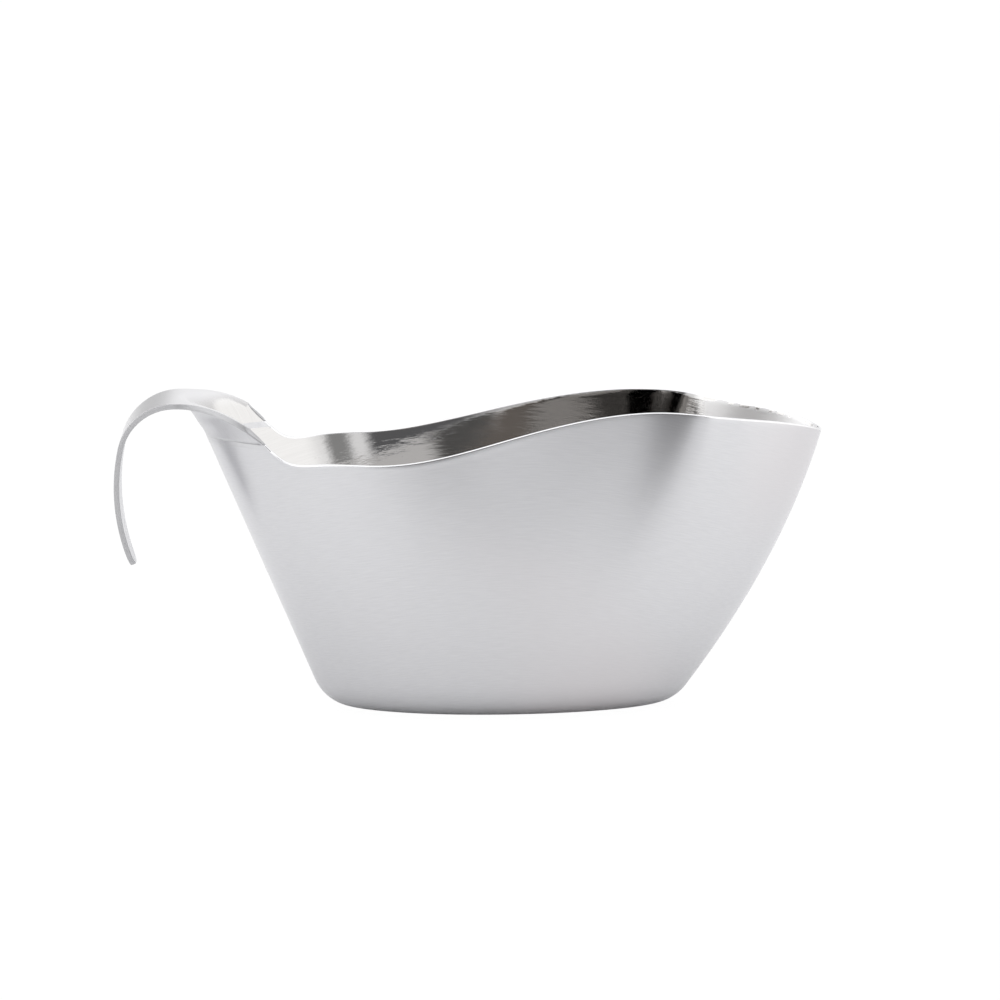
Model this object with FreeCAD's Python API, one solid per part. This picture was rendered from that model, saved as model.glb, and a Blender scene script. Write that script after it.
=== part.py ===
"""Steel sauce boat: a deep-drawn bowl with a bent strap handle welded to its back edge.

Units are millimetres.  X runs along the boat towards the spout, Y runs across it and Z is up.
The origin is on the table, under the middle of the flat base.
"""
import FreeCAD, Part
import math
import os

Vector = FreeCAD.Vector

# ---- bowl: its outer face ------------------------------------------------------------------------
FOOT_LENGTH = 98.0           # length of the outline that the wall would draw on the table
FOOT_MIDDLE_X = -2.0         # middle of that outline
FOOT_FULLNESS = 0.485        # half breadth over half length of that outline
BACK_FLARE = 0.425           # outward run of the back wall for each unit of height
FRONT_FLARE = 0.785          # the same for the spout wall, at the table
FRONT_BOW = 0.00318          # how fast the spout wall steepens with height, per mm
BACK_FULLNESS = 0.455        # half breadth over half length at the rim, in the back part
SPOUT_FULLNESS = 0.32        # the same towards the spout
FULLNESS_HEIGHT = 80.0       # height at which those two hold
WAIST_X = -10.0              # where the full back part turns into the slimmer spout part
WAIST_RUN = 30.0             # how gradually it turns
CHEEK_FULLNESS = 0.034       # extra fullness where the sides turn in to form the spout
CHEEK_SETBACK = 36.0         # how far that place lies behind the spout wall
BEAK_FULLNESS = -0.014       # change of fullness at the slim place of the spout
BEAK_SETBACK = 21.0          # how far that place lies behind the spout wall
SPOUT_RUN = 11.0             # length over which each of the two fades
BOWL_GAUGE = 1.0             # thickness of the wall and the floor
BASE_BEND = 13.0             # outer radius of the bend between the wall and the flat base

# ---- rim: its line as seen from the side, by heights above the table ---------------------------------
LIP_Z = 78.4                 # at the spout
BEAK_DROP = 3.1              # how far the rim has dropped from its crest at the slim place of the spout
CREST_Z = 86.4               # at its highest
HIP_Z = 80.8                 # at the middle of the rise to the crest
DIP_Z = 73.6                 # along the low stretch in front of the strap
DIP_TILT = 0.2               # how much higher the front end of the low stretch is
CREST_SHARE = 0.727          # where those places lie, from the slope behind (0) to the lip (1)
HIP_SHARE = 0.4345
DIP_FRONT_SHARE = 0.2056
DIP_BACK_SHARE = 0.0975
BROW_SHARE = 0.4             # rise from the lip to the beak that is done a quarter of the way along
LIP_OVERRUN = 6.0            # how far the line runs on past the lip
LIP_OVERRUN_DROP = 3.0       # and how far it drops there
EDGE_SETBACK = 20.4          # middle of the rise to the strap, from the back wall's top

# ---- strap handle ----------------------------------------------------------------------------------
STRAP_GAUGE = 1.5
STRAP_TOP_Z = 88.8           # highest line of the strap
STRAP_REACH = 3.2            # how far that line lies behind the back wall, drawn up to it
STRAP_SAG = 0.0107           # fall of the strap from that line towards the bowl, per mm squared
STRAP_FALL = 0.000205        # further fall, per mm cubed
SHOULDER_RADIUS = 16.8       # outer radius of the tight curl
SHOULDER_SWEEP = 77.5        # degrees that the tight curl turns
GRIP_RADIUS = 58.0           # outer radius of the hanging end
GRIP_SWEEP = 34.5            # degrees that the hanging end turns
NECK_HALF_WIDTH = 16.0       # half width at the highest line
TIP_HALF_WIDTH = 5.4         # half width at the end
TAPER_POWER = 1.1            # how early the strap gets narrow
TIP_ROUNDING = 4.0           # radius of the corners at the end
ROOT_BEND = 4.2              # size of the bend from the back wall into the strap
ROOT_HALF_WIDTH = 24.5       # half width of the blank where it is laid on the wall
ROOT_SPREAD = 0.72           # share of the root over which the strap widens

# ---- weld between the two ----------------------------------------------------------------------------
SEAM_LIFT = 4.0              # height of the middle of the weld above the dip of the rim
SEAM_WIDTH = 1.6             # width of the weld
WELD_CROWN = 0.05            # how far the ground weld stands out from the bowl's outer face
FEATHER_HEIGHT = 5.0         # the strap reaches its full gauge this far above the weld

# ---- rise of the rim from the dip to the strap: distance along X, share of the height ----------------
RISE = ((6.0, 0.03), (3.6, 0.14), (0.9, 0.31), (-2.6, 0.54), (-6.2, 0.82), (-10.7, 1.15))

# ---- fineness of the curves ----------------------------------------------------------------------------
RING_STEPS = 72
BEND_STEPS = 7
WALL_STEPS = 7
ROOT_STEPS = 12
ARC_STEPS = 8
ACROSS_STEPS = 16

# ---- worked out from the values above --------------------------------------------------------------------
STEP_OUT = STRAP_GAUGE - BOWL_GAUGE        # what the strap is thicker than the bowl
TRIM_ALLOWANCE = 8.0                       # the wall is drawn this far past the strap's top, then trimmed
DRAWN_TOP = STRAP_TOP_Z + TRIM_ALLOWANCE
SEAM_LOW = DIP_Z + SEAM_LIFT - SEAM_WIDTH / 2.0
SEAM_HIGH = SEAM_LOW + SEAM_WIDTH
BLANK_OVERLAP = 2.0                        # the strap blank starts this far below the weld and is cut there
ROOT_LEVEL = SEAM_LOW - BLANK_OVERLAP
CLEAR = 200.0                              # larger than the whole boat, for cutting blocks
BLOCK_MARGIN = 4.0                         # how far the block behind reaches past the strap's highest line


def back_x(z):
    """Place of the back wall, on the middle line, at a height."""
    return FOOT_MIDDLE_X - FOOT_LENGTH / 2.0 - BACK_FLARE * z


def front_x(z):
    """Place of the spout wall, on the middle line, at a height."""
    return FOOT_MIDDLE_X + FOOT_LENGTH / 2.0 + FRONT_FLARE * z - FRONT_BOW * z * z


def fullness(x, z):
    """Half breadth over half length of the outline at a height, where it passes a place."""
    towards_spout = 0.5 + 0.5 * math.tanh((x - WAIST_X) / WAIST_RUN)
    from_cheek = (x - front_x(z) + CHEEK_SETBACK) / SPOUT_RUN
    from_beak = (x - front_x(z) + BEAK_SETBACK) / SPOUT_RUN
    at_rim = BACK_FULLNESS + (SPOUT_FULLNESS - BACK_FULLNESS) * towards_spout
    shaping = CHEEK_FULLNESS * math.exp(-from_cheek ** 2) + BEAK_FULLNESS * math.exp(-from_beak ** 2)
    at_rim += shaping * z / FULLNESS_HEIGHT
    return FOOT_FULLNESS + (at_rim - FOOT_FULLNESS) * z / FULLNESS_HEIGHT


def wall(angle, z):
    """Point of the outer face; the angle runs from the back (0) by the side to the spout (pi)."""
    half = (front_x(z) - back_x(z)) / 2.0
    x = back_x(z) + half * (1.0 - math.cos(angle))
    return Vector(x, half * math.sin(angle) * fullness(x, z), z)


def wall_normal(angle, z):
    """Outward unit normal of the outer face."""
    step = 0.001
    along = wall(angle + step, z) - wall(angle - step, z)
    up = wall(angle, z + step) - wall(angle, z - step)
    normal = up.cross(along)
    return normal.normalize()


def inset_wall(angle, z, inset):
    """Point at a height on the face that lies an inset inside the outer face."""
    normal = wall_normal(angle, z)
    level = Vector(normal.x, normal.y, 0.0)
    return wall(angle, z) - level * (inset / level.Length ** 2)


def closed_curve(points):
    """Smooth closed edge through points, all such edges sharing one parameter range."""
    curve = Part.BSplineCurve()
    curve.interpolate(Points=points, PeriodicFlag=True, Parameters=list(range(len(points) + 1)))
    return Part.Wire([curve.toShape()])


def open_curve(points):
    """Smooth open edge through points."""
    curve = Part.BSplineCurve()
    curve.interpolate(Points=points, Parameters=list(range(len(points))))
    return curve.toShape()


def profile_points(angle, inset):
    """Points up one side of the bowl: the bend out of the base, then the wall."""
    bend = BASE_BEND - inset
    height = inset + bend
    for _ in range(4):
        normal = wall_normal(angle, height)
        height = inset + bend * (1.0 + normal.z)
    centre = inset_wall(angle, height, inset) - normal * bend
    turn = math.acos(-normal.z)
    points = []
    for step in range(BEND_STEPS):
        part = turn * step / BEND_STEPS
        down = Vector(0, 0, -1) * (math.sin(turn - part) / math.sin(turn))
        out = normal * (math.sin(part) / math.sin(turn))
        points.append(centre + (down + out) * bend)
    for step in range(WALL_STEPS + 1):
        z = height + (DRAWN_TOP - height) * step / WALL_STEPS
        points.append(inset_wall(angle, z, inset))
    return points


def hull(inset):
    """Solid that fills the bowl up to the face that lies an inset inside the outer face."""
    sides = [profile_points(2.0 * math.pi * step / RING_STEPS, inset) for step in range(RING_STEPS)]
    rows = [closed_curve(list(row)) for row in zip(*sides)]
    return Part.makeLoft(rows, True, False)


def slope_x():
    """Middle of the rim's rise to the strap."""
    return back_x(STRAP_TOP_Z) + EDGE_SETBACK


def rim_place(share):
    """Place along the rim, from the slope behind (0) to the lip (1)."""
    return slope_x() + share * (front_x(LIP_Z) - slope_x())


def above_rim():
    """Block above the rim line, which trims the wall, the weld and the root of the strap."""
    lip_x = front_x(LIP_Z)
    beak_z = CREST_Z - BEAK_DROP
    line = [
        Vector(lip_x + LIP_OVERRUN, 0, LIP_Z - LIP_OVERRUN_DROP),
        Vector(lip_x, 0, LIP_Z),
        Vector(lip_x - BEAK_SETBACK / 4.0, 0, LIP_Z + BROW_SHARE * (beak_z - LIP_Z)),
        Vector(lip_x - BEAK_SETBACK, 0, beak_z),
        Vector(rim_place(CREST_SHARE), 0, CREST_Z),
        Vector(rim_place(HIP_SHARE), 0, HIP_Z),
        Vector(rim_place(DIP_FRONT_SHARE), 0, DIP_Z + DIP_TILT),
        Vector(rim_place(DIP_BACK_SHARE), 0, DIP_Z),
    ]
    line += [Vector(slope_x() + along, 0, DIP_Z + share * (STRAP_TOP_Z - DIP_Z)) for along, share in RISE]
    edge = Part.BSplineCurve()
    edge.interpolate(Points=line)
    high_back = Vector(line[-1].x, 0, CLEAR)
    high_front = Vector(line[0].x, 0, CLEAR)
    sides = [Part.makeLine(line[-1], high_back), Part.makeLine(high_back, high_front)]
    sides.append(Part.makeLine(high_front, line[0]))
    outline = Part.Wire([edge.toShape()] + sides)
    outline.translate(Vector(0, -CLEAR / 2.0, 0))
    return Part.Face(outline).extrude(Vector(0, CLEAR, 0))


def back_block(low, high):
    """Block behind the slope of the rim, between two levels, clear of the hanging end."""
    back = strap_top_x() - BLOCK_MARGIN
    length = rim_place(DIP_BACK_SHARE) - back
    return Part.makeBox(length, CLEAR, high - low, Vector(back, -CLEAR / 2.0, low))


def build_bowl():
    """Drawn shell with a flat base, a wavy rim and a level edge behind for the weld."""
    shell = hull(0.0).cut(hull(BOWL_GAUGE))
    shell = shell.cut(above_rim())
    return shell.cut(back_block(SEAM_LOW, CLEAR))


def strap_top_x():
    """Place of the highest line of the strap."""
    return back_x(STRAP_TOP_Z) - STRAP_REACH


def wall_height(x, y):
    """Height at which the outer face of the drawn wall passes over a place in plan."""
    low, high = 0.0, 3.0 * STRAP_TOP_Z
    for _ in range(50):
        z = (low + high) / 2.0
        breadth = fullness(x, z)
        if (x - back_x(z)) * (front_x(z) - x) * breadth * breadth > y * y:
            high = z
        else:
            low = z
    return low


def root_height(x, y):
    """Height of the sheet's outer face, from the wall through the root bend into the strap."""
    behind = x - strap_top_x()
    strap = STRAP_TOP_Z - BOWL_GAUGE - STRAP_SAG * behind ** 2 - STRAP_FALL * behind ** 3
    drawn = wall_height(x, y)
    bend = max(min(ROOT_BEND, (strap - SEAM_HIGH) / 2.0), 0.1)
    blend = max(2.0 * bend - abs(drawn - strap), 0.0) / (2.0 * bend)
    return min(drawn, strap) - blend * blend * bend / 2.0


def root_point(x, y):
    """Point of that face and its unit normal towards the inside of the boat."""
    step = 0.01
    slope_x = (root_height(x + step, y) - root_height(x - step, y)) / (2.0 * step)
    slope_y = (root_height(x, y + step) - root_height(x, y - step)) / (2.0 * step)
    return Vector(x, y, root_height(x, y)), Vector(-slope_x, -slope_y, 1.0).normalize()


def root_angle():
    """Angle on the wall's outline at which the strap blank has its root width."""
    low, high = 0.0, math.pi / 2.0
    for _ in range(50):
        angle = (low + high) / 2.0
        if wall(angle, ROOT_LEVEL).y < ROOT_HALF_WIDTH:
            low = angle
        else:
            high = angle
    return low


def sheet_section(inner, outer):
    """Closed wire around one section of the strap."""
    ends = [Part.makeLine(inner[-1], outer[-1]), Part.makeLine(outer[0], inner[0])]
    return Part.Wire([open_curve(inner), ends[0], open_curve(outer), ends[1]])


def feather(z):
    """Extra thickness of the strap at a level: none at the weld, all of it a little way above."""
    share = min(max((z - SEAM_HIGH) / FEATHER_HEIGHT, 0.0), 1.0)
    return STEP_OUT * share * share * (3.0 - 2.0 * share)


def across(points_and_normals, extra):
    """Section of the strap from points on the line of the bowl's outer face, normals and extra gauge."""
    inner = [point + normal * BOWL_GAUGE for point, normal in points_and_normals]
    outer = [point - normal * extra(point.z) for point, normal in points_and_normals]
    return sheet_section(inner, outer)


def root_sections():
    """Sections from the back wall up to the highest line of the strap."""
    widest = root_angle()
    shares = [2.0 * step / ACROSS_STEPS - 1.0 for step in range(ACROSS_STEPS + 1)]
    inner = [inset_wall(share * widest, ROOT_LEVEL, BOWL_GAUGE) for share in shares]
    outer = [wall(share * widest, ROOT_LEVEL) for share in shares]
    sections = [sheet_section(inner, outer)]
    for step in range(1, ROOT_STEPS + 1):
        out = step / ROOT_STEPS
        line = []
        for share in shares:
            start = wall(share * widest, ROOT_LEVEL)
            x = start.x + (strap_top_x() - start.x) * out
            spread = math.sin(math.pi / 2.0 * min((1.0 - out) / ROOT_SPREAD, 1.0)) ** 2
            y = share * NECK_HALF_WIDTH + (start.y - share * NECK_HALF_WIDTH) * spread
            line.append(root_point(x, y))
        sections.append(across(line, feather))
    return sections


def curl_sections():
    """Sections over the tight curl and down the hanging end."""
    shoulder = math.radians(SHOULDER_SWEEP)
    grip = math.radians(GRIP_SWEEP)
    length = shoulder * SHOULDER_RADIUS + grip * GRIP_RADIUS
    sections = []
    for step in range(1, 2 * ARC_STEPS + 1):
        first = min(step, ARC_STEPS) / ARC_STEPS * shoulder
        second = max(step - ARC_STEPS, 0) / ARC_STEPS * grip
        normal = Vector(-math.sin(first + second), 0, math.cos(first + second))
        knee = Vector(-math.sin(first), 0, math.cos(first))
        centre = Vector(strap_top_x(), 0, STRAP_TOP_Z - SHOULDER_RADIUS)
        top = centre + knee * (SHOULDER_RADIUS - GRIP_RADIUS) + normal * GRIP_RADIUS
        if step <= ARC_STEPS:
            top = centre + normal * SHOULDER_RADIUS
        left = 1.0 - (first * SHOULDER_RADIUS + second * GRIP_RADIUS) / length
        half = TIP_HALF_WIDTH + (NECK_HALF_WIDTH - TIP_HALF_WIDTH) * left ** TAPER_POWER
        line = []
        for place in range(ACROSS_STEPS + 1):
            y = half * (2.0 * place / ACROSS_STEPS - 1.0)
            line.append((top - normal * BOWL_GAUGE + Vector(0, y, 0), normal))
        sections.append(across(line, lambda z: STEP_OUT))
    return sections


def build_strap():
    """Bent strap: its root is formed to the back wall, its end hangs free."""
    strap = Part.makeLoft(root_sections() + curl_sections(), True, False)
    strap = strap.cut(back_block(0.0, SEAM_HIGH))
    strap = strap.cut(above_rim())
    corners = [edge for edge in strap.Edges if is_tip_corner(edge)]
    return strap.makeFillet(TIP_ROUNDING, corners)


def is_tip_corner(edge):
    """True for the two short edges through the gauge at the hanging end."""
    middle = edge.CenterOfMass
    through = abs(edge.Length - STRAP_GAUGE) < STRAP_GAUGE / 3.0
    return through and middle.z < SEAM_LOW and middle.x < back_x(SEAM_LOW)


def build_weld():
    """Weld band between the bowl's back edge and the strap's root, ground nearly flush."""
    rows = []
    for z, out in ((SEAM_LOW, 0.0), (SEAM_LOW + SEAM_WIDTH / 2.0, WELD_CROWN), (SEAM_HIGH, 0.0)):
        angles = [2.0 * math.pi * step / RING_STEPS for step in range(RING_STEPS)]
        rows.append(closed_curve([inset_wall(angle, z, -out) for angle in angles]))
    band = Part.makeLoft(rows, True, False).cut(hull(BOWL_GAUGE))
    band = band.common(back_block(SEAM_LOW, SEAM_HIGH))
    return band.cut(above_rim())


def main():
    """Write one file for each piece."""
    os.makedirs("parts", exist_ok=True)
    pieces = {"bowl": build_bowl(), "handle_strap": build_strap(), "seam_weld": build_weld()}
    for name, shape in pieces.items():
        print(name, "valid", shape.isValid(), "solids", len(shape.Solids), "mm3", round(shape.Volume))
        shape.Solids[0].exportStep("parts/%s.step" % name)


main()
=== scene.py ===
"""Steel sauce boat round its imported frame: a drawn bowl, a bent strap handle and the weld between them.

The sizes in the classes are millimetres.  X runs along the boat towards the spout, Y across it and Z up,
with the origin on the table under the middle of the base.  Meshes are written in metres.
"""
import logging
import math
from dataclasses import dataclass, field
from enum import Enum
from functools import cached_property

import bmesh
import bpy
import numpy as np
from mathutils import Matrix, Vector


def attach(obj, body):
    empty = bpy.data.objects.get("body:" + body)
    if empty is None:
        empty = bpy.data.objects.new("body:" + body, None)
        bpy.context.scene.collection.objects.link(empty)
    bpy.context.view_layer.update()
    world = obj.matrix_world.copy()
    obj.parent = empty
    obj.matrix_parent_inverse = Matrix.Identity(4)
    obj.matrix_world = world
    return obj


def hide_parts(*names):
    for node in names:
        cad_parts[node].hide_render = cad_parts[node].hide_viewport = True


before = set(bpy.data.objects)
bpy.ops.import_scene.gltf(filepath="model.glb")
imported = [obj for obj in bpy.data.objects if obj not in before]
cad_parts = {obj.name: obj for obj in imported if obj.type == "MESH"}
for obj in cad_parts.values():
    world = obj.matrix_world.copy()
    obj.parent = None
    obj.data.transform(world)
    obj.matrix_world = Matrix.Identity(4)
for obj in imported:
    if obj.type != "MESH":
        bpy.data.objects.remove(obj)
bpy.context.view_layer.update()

LOG = logging.getLogger("sauce_boat")
MM = 0.001
HALVINGS = 34
TINY = 1e-12
BEND_PASSES = 4
WALL_STEP = 0.001
PLAN_STEP = 0.01
LARGEST_ROUNDING = 0.49
EDGE_SWELL = 0.04
UV_PER_METRE = 10.0


class Side(Enum):
    """The two faces of the sheet."""

    OUTER = "outer"
    INNER = "inner"


class Zone(Enum):
    """Parts of a piece's surface that have a finish of their own."""

    OUTSIDE = 0
    EDGE = 1
    INSIDE = 2


# ---------------------------------------------------------------------------------------------------
# Small tools for arrays of points
# ---------------------------------------------------------------------------------------------------


def stack(x: np.ndarray, y: np.ndarray, z: np.ndarray) -> np.ndarray:
    """Join three coordinate arrays into one array of points."""
    return np.stack(np.broadcast_arrays(x, y, z), axis=-1).astype(float)


def unit(vectors: np.ndarray) -> np.ndarray:
    """Scale vectors to length one."""
    return vectors / np.maximum(np.linalg.norm(vectors, axis=-1, keepdims=True), TINY)


def smooth(share: np.ndarray) -> np.ndarray:
    """Smooth step from 0 to 1."""
    share = np.clip(share, 0.0, 1.0)
    return share * share * (3.0 - 2.0 * share)


def halve(test, low: np.ndarray, high: np.ndarray) -> np.ndarray:
    """Find where a test changes, by halving.

    Args:
        test: Function of an array of values that is true where the value is too low.
        low: Values known to be too low.
        high: Values known to be too high.

    Returns:
        The values at which the test changes.
    """
    low, high = np.array(low, float), np.array(high, float)
    for _ in range(HALVINGS):
        middle = (low + high) / 2.0
        too_low = test(middle)
        low = np.where(too_low, middle, low)
        high = np.where(too_low, high, middle)
    return (low + high) / 2.0


def run_length(points: np.ndarray, axis: int) -> np.ndarray:
    """Length run along a grid of points.

    Args:
        points: The grid of points.
        axis: Axis of the grid to run along.

    Returns:
        The length at each point, from the first point of its line.
    """
    steps = np.linalg.norm(np.diff(points, axis=axis), axis=-1)
    start = np.zeros_like(np.take(steps, [0], axis=axis))
    return np.cumsum(np.concatenate([start, steps], axis=axis), axis=axis)


# ---------------------------------------------------------------------------------------------------
# Form of the boat
# ---------------------------------------------------------------------------------------------------


@dataclass(frozen=True)
class Hull:
    """Form of the drawn wall: level outlines that change from a full foot to a slim spout."""

    foot_length: float = 98.0
    foot_middle_x: float = -2.0
    foot_fullness: float = 0.485
    back_flare: float = 0.425
    front_flare: float = 0.785
    front_bow: float = 0.00318
    back_fullness: float = 0.455
    spout_fullness: float = 0.32
    fullness_height: float = 80.0
    waist_x: float = -10.0
    waist_run: float = 30.0
    cheek_fullness: float = 0.034
    cheek_setback: float = 36.0
    beak_fullness: float = -0.014
    beak_setback: float = 21.0
    spout_run: float = 11.0
    gauge: float = 1.0
    base_bend: float = 13.0

    def back_x(self, z: np.ndarray) -> np.ndarray:
        """Place of the back wall at a height."""
        return self.foot_middle_x - self.foot_length / 2.0 - self.back_flare * z

    def front_x(self, z: np.ndarray) -> np.ndarray:
        """Place of the spout wall at a height."""
        foot_end = self.foot_middle_x + self.foot_length / 2.0
        return foot_end + self.front_flare * z - self.front_bow * z * z

    def fullness(self, x: np.ndarray, z: np.ndarray) -> np.ndarray:
        """Shape of the level outlines.

        Args:
            x: Places along the boat.
            z: Heights.

        Returns:
            Half breadth over half length of the outline at that height, where it passes that place.
        """
        towards_spout = 0.5 + 0.5 * np.tanh((x - self.waist_x) / self.waist_run)
        from_cheek = (x - self.front_x(z) + self.cheek_setback) / self.spout_run
        from_beak = (x - self.front_x(z) + self.beak_setback) / self.spout_run
        at_rim = self.back_fullness + (self.spout_fullness - self.back_fullness) * towards_spout
        cheek = self.cheek_fullness * np.exp(-(from_cheek**2))
        beak = self.beak_fullness * np.exp(-(from_beak**2))
        at_rim = at_rim + (cheek + beak) * z / self.fullness_height
        return self.foot_fullness + (at_rim - self.foot_fullness) * z / self.fullness_height

    def wall(self, angle: np.ndarray, z: np.ndarray) -> np.ndarray:
        """Points of the outer face.

        Args:
            angle: Angles from the back (0) to the spout (pi).
            z: Heights.

        Returns:
            The points.
        """
        half = (self.front_x(z) - self.back_x(z)) / 2.0
        x = self.back_x(z) + half * (1.0 - np.cos(angle))
        return stack(x, half * np.sin(angle) * self.fullness(x, z), z)

    def normal(self, angle: np.ndarray, z: np.ndarray) -> np.ndarray:
        """Outward normals of the outer face.

        Args:
            angle: Angles from the back (0) to the spout (pi).
            z: Heights.

        Returns:
            The normals.
        """
        step = WALL_STEP
        along = self.wall(angle + step, z) - self.wall(angle - step, z)
        up = self.wall(angle, z + step) - self.wall(angle, z - step)
        return unit(np.cross(up, along))

    def inset(self, angle: np.ndarray, z: np.ndarray, depth: float) -> np.ndarray:
        """Points on a face that lies inside the outer face.

        Args:
            angle: Angles from the back (0) to the spout (pi).
            z: Heights.
            depth: How far that face lies inside, square to the wall.

        Returns:
            The points.
        """
        level = self.normal(angle, z)
        level[..., 2] = 0.0
        across = np.sum(level * level, axis=-1, keepdims=True)
        return self.wall(angle, z) - level * (depth / across)

    def angle_at(self, y: np.ndarray, z: float, depth: float) -> np.ndarray:
        """Angles in the back quarter at which a face reaches a breadth.

        Args:
            y: Half breadths.
            z: Height.
            depth: Depth of the face inside the outer one.

        Returns:
            The angles.
        """
        zeros = np.zeros_like(y)
        return halve(lambda a: self.inset(a, z + zeros, depth)[..., 1] < y, zeros, zeros + math.pi / 2.0)

    def wall_height(self, x: np.ndarray, y: np.ndarray, top: float) -> np.ndarray:
        """Height at which the outer face passes over a place in plan.

        Args:
            x: Places along the boat.
            y: Places across it.
            top: A height above the whole face.

        Returns:
            The heights.
        """

        def too_low(z: np.ndarray) -> np.ndarray:
            """True below the wall."""
            breadth = self.fullness(x, z)
            return (x - self.back_x(z)) * (self.front_x(z) - x) * breadth * breadth <= y * y

        return halve(too_low, np.zeros_like(x), np.full_like(x, top))

    def bend(self, angle: np.ndarray, depth: float, steps: int) -> np.ndarray:
        """Rows of points from the flat base up round the bend to the wall.

        Args:
            angle: Angles of the columns.
            depth: Depth of the face inside the outer one.
            steps: Steps round the bend.

        Returns:
            The rows, from the base to the wall.
        """
        radius = self.base_bend - depth
        height = np.full_like(angle, depth + radius)
        for _ in range(BEND_PASSES):
            height = depth + radius * (1.0 + self.normal(angle, height)[..., 2])
        normal = self.normal(angle, height)
        centre = self.inset(angle, height, depth) - normal * radius
        turn = np.arccos(-normal[..., 2])[:, None]
        down = np.array([0.0, 0.0, -1.0])
        rows = []
        for share in np.linspace(0.0, 1.0, steps + 1):
            part = turn * share
            arm = down * np.sin(turn - part) / np.sin(turn) + normal * np.sin(part) / np.sin(turn)
            rows.append(centre + arm * radius)
        return np.array(rows)


@dataclass(frozen=True)
class RimLine:
    """Line of the rim as seen from the side, a smooth curve through a few places."""

    hull: Hull
    lip_z: float = 78.4
    beak_drop: float = 3.1
    crest_x: float = 46.0
    crest_z: float = 86.4
    hip_x: float = 0.0
    hip_z: float = 80.8
    dip_front_x: float = -36.0
    dip_back_x: float = -53.0
    dip_z: float = 73.6
    dip_tilt: float = 0.2
    brow_share: float = 0.4
    lip_overrun: float = 6.0
    lip_overrun_drop: float = 3.0
    edge_setback: float = 20.4
    strap_top_z: float = 88.8
    rise: tuple = ((6.0, 0.03), (3.6, 0.14), (0.9, 0.31), (-2.6, 0.54), (-6.2, 0.82), (-10.7, 1.15))

    def places(self) -> np.ndarray:
        """Places that the line passes.

        Returns:
            The places, from the spout to the strap.
        """
        lip_x = self.hull.front_x(self.lip_z)
        slope_x = self.hull.back_x(self.strap_top_z) + self.edge_setback
        beak_z = self.crest_z - self.beak_drop
        line = [
            (lip_x + self.lip_overrun, self.lip_z - self.lip_overrun_drop),
            (lip_x, self.lip_z),
            (lip_x - self.hull.beak_setback / 4.0, self.lip_z + self.brow_share * (beak_z - self.lip_z)),
            (lip_x - self.hull.beak_setback, beak_z),
            (self.crest_x, self.crest_z),
            (self.hip_x, self.hip_z),
            (self.dip_front_x, self.dip_z + self.dip_tilt),
            (self.dip_back_x, self.dip_z),
        ]
        step_up = self.strap_top_z - self.dip_z
        line += [(slope_x + along, self.dip_z + share * step_up) for along, share in self.rise]
        return np.array(line)

    def curve(self, steps: int = 40) -> np.ndarray:
        """Cubic through the places, even in curvature at each of them.

        Args:
            steps: Points between two places.

        Returns:
            Fine points along the line, from the strap to the spout.
        """
        places = self.places()
        chord = np.linalg.norm(np.diff(places, axis=0), axis=1)
        count = len(places)
        matrix = np.zeros((count, count))
        right = np.zeros((count, 2))
        for end, step in ((0, 1), (count - 1, -1)):
            four = [end + step * i for i in range(4)]
            knots = np.concatenate([[0.0], np.cumsum(chord)])[four]
            matrix[end, end] = 1.0
            right[end] = end_slope(knots, places[four])
        for i in range(1, count - 1):
            before, after = chord[i - 1], chord[i]
            matrix[i, i - 1], matrix[i, i], matrix[i, i + 1] = after, 2.0 * (before + after), before
            rise_before = (places[i] - places[i - 1]) / before
            rise_after = (places[i + 1] - places[i]) / after
            right[i] = 3.0 * (after * rise_before + before * rise_after)
        slopes = np.linalg.solve(matrix, right)
        points = []
        for i in range(count - 1):
            t = np.linspace(0.0, 1.0, steps, endpoint=False)[:, None]
            run = chord[i]
            points.append(
                places[i] * (1 - t) ** 2 * (1 + 2 * t)
                + places[i + 1] * t**2 * (3 - 2 * t)
                + slopes[i] * run * t * (1 - t) ** 2
                - slopes[i + 1] * run * t**2 * (1 - t)
            )
        points.append(places[-1:])
        return np.concatenate(points)[::-1]

    @cached_property
    def table(self) -> np.ndarray:
        """Fine points of the line, worked out once."""
        return self.curve()

    def height(self, x: np.ndarray) -> np.ndarray:
        """Height of the rim above a place along the boat."""
        return np.interp(x, self.table[:, 0], self.table[:, 1])


def end_slope(knots: np.ndarray, places: np.ndarray) -> np.ndarray:
    """Slope of a cubic at the first of the four places that it passes.

    Args:
        knots: Lengths along the line of the four places.
        places: The places.

    Returns:
        The slope.
    """
    slope = np.zeros(2)
    for i in range(4):
        others = [j for j in range(4) if j != i]
        scale = np.prod([knots[i] - knots[j] for j in others])
        total = 0.0
        for skipped in others:
            kept = [j for j in others if j != skipped]
            total += np.prod([knots[0] - knots[j] for j in kept])
        slope = slope + places[i] * total / scale
    return slope


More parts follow.
